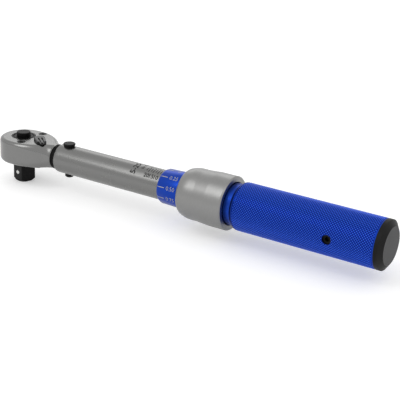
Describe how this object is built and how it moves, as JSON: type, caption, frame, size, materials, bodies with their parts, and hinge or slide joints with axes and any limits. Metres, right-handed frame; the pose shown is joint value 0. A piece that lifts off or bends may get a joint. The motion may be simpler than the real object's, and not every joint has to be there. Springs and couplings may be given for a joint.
{
  "type": "micrometer torque wrench",
  "caption": "Micrometer torque wrench with a reversible ratchet head, 3/8 inch square drive, graduated blue sleeve, lock ring and knurled grip.",
  "frame": {"origin": "centre of the square drive's end face", "axes": "+X along the tube from the drive to the cap, +Z along the drive axis, up through the head"},
  "size_m": [0.2484, 0.0296, 0.0346],
  "materials": {
    "satin_chrome": "satin",
    "blue_anodised": "satin anodised, fine diamond knurl on the grip",
    "satin_ring": "satin",
    "black_steel": "black oxide",
    "bright_steel": "polished",
    "plain_steel": "machined",
    "black_rubber": "matt",
    "cap_plastic": "matt, greyer face",
    "brass_nut": "machined"
  },
  "bodies": {
    "tube": {"tube": "satin_chrome", "mouth_ring": "black_rubber", "pivot_pin": "black_steel", "screw_nut": "brass_nut", "main_spring": "plain_steel"},
    "head": {"ratchet_head": "satin_chrome", "cover_plate": "satin_chrome", "head_screws": "black_steel"},
    "drive": {"drive_gear": "black_steel", "button_spring": "bright_steel"},
    "button": {"release_button": "black_steel"},
    "detent": {"detent_ball": "bright_steel"},
    "lever": {"reverse_lever": "black_steel", "lever_spring": "bright_steel"},
    "lever_pin": {"lever_plunger": "plain_steel"},
    "pawl": {"pawl": "plain_steel"},
    "strut": {"tilt_strut": "plain_steel"},
    "plunger": {"plunger": "plain_steel"},
    "seat": {"spring_seat": "plain_steel", "thrust_ball": "bright_steel"},
    "handle": {"handle": "blue_anodised", "adjusting_screw": "plain_steel", "set_screw": "black_steel", "end_cap": "cap_plastic", "snap_ring": "plain_steel", "friction_ring": "black_rubber"},
    "lock_ring": {"lock_ring": "satin_ring"},
    "ball_top": {"lock_ball_top": "bright_steel"},
    "ball_bottom": {"lock_ball_bottom": "bright_steel"}
  },
  "joints": [
    {"name": "head_tilt", "type": "hinge", "parent": "tube", "child": "head", "pos_m": [0.0345, 0, 0.0198], "axis": [0, 0, 1], "range_deg": [-2, 2], "stiffness_Nm_per_rad": 2},
    {"name": "drive_turn", "type": "hinge", "parent": "head", "child": "drive", "pos_m": [0, 0, 0.0198], "axis": [0, 0, 1], "continuous": true},
    {"name": "button_press", "type": "slide", "parent": "drive", "child": "button", "axis": [0, 0, -1], "range_m": [0, 0.002], "stiffness_N_per_m": 300, "deforming": ["button_spring"]},
    {"name": "detent_slide", "type": "slide", "parent": "drive", "child": "detent", "axis": [0.2588, 0.9659, 0], "range_m": [0, 0.0006]},
    {"name": "lever_swing", "type": "hinge", "parent": "head", "child": "lever", "pos_m": [0.01225, 0, 0.0198], "axis": [0, 0, 1], "range_deg": [0, 80]},
    {"name": "lever_plunger_slide", "type": "slide", "parent": "lever", "child": "lever_pin", "axis": [-0.766, 0.6428, 0], "range_m": [0, 0.0004], "stiffness_N_per_m": 200, "deforming": ["lever_spring"]},
    {"name": "pawl_swing", "type": "hinge", "parent": "head", "child": "pawl", "pos_m": [0.01225, 0, 0.0198], "axis": [0, 0, 1], "range_deg": [-10, 0]},
    {"name": "strut_tilt", "type": "hinge", "parent": "head", "child": "strut", "pos_m": [0.0675, 0, 0.0198], "axis": [0, 0, 1], "range_deg": [-11.5, 11.5]},
    {"name": "plunger_slide", "type": "slide", "parent": "tube", "child": "plunger", "axis": [1, 0, 0], "range_m": [0, 0.0006], "stiffness_N_per_m": 2000},
    {"name": "seat_slide", "type": "slide", "parent": "tube", "child": "seat", "axis": [-1, 0, 0], "range_m": [0, 0.012], "deforming": ["main_spring"]},
    {"name": "handle_turn", "type": "hinge", "parent": "seat", "child": "handle", "pos_m": [0.1586, 0, 0.0198], "axis": [-1, 0, 0], "range_deg": [0, 2880]},
    {"name": "ring_slide", "type": "slide", "parent": "handle", "child": "lock_ring", "axis": [1, 0, 0], "range_m": [0, 0.0035]},
    {"name": "ball_top_slide", "type": "slide", "parent": "handle", "child": "ball_top", "axis": [0, 0, -1], "range_m": [0, 0.00055]},
    {"name": "ball_bottom_slide", "type": "slide", "parent": "handle", "child": "ball_bottom", "axis": [0, 0, 1], "range_m": [0, 0.00055]}
  ],
  "couplings": [
    {"joint": "detent_slide", "follows": "button_press", "ratio": 0.3},
    {"joint": "pawl_swing", "follows": "lever_swing", "ratio": -0.125},
    {"joint": "strut_tilt", "follows": "head_tilt", "ratio": -5.7143},
    {"joint": "handle_turn", "follows": "seat_slide", "rad_per_m": 4188.8},
    {"joint": "ball_top_slide", "follows": "ring_slide", "ratio": 0.15714},
    {"joint": "ball_bottom_slide", "follows": "ring_slide", "ratio": 0.15714}
  ]
}
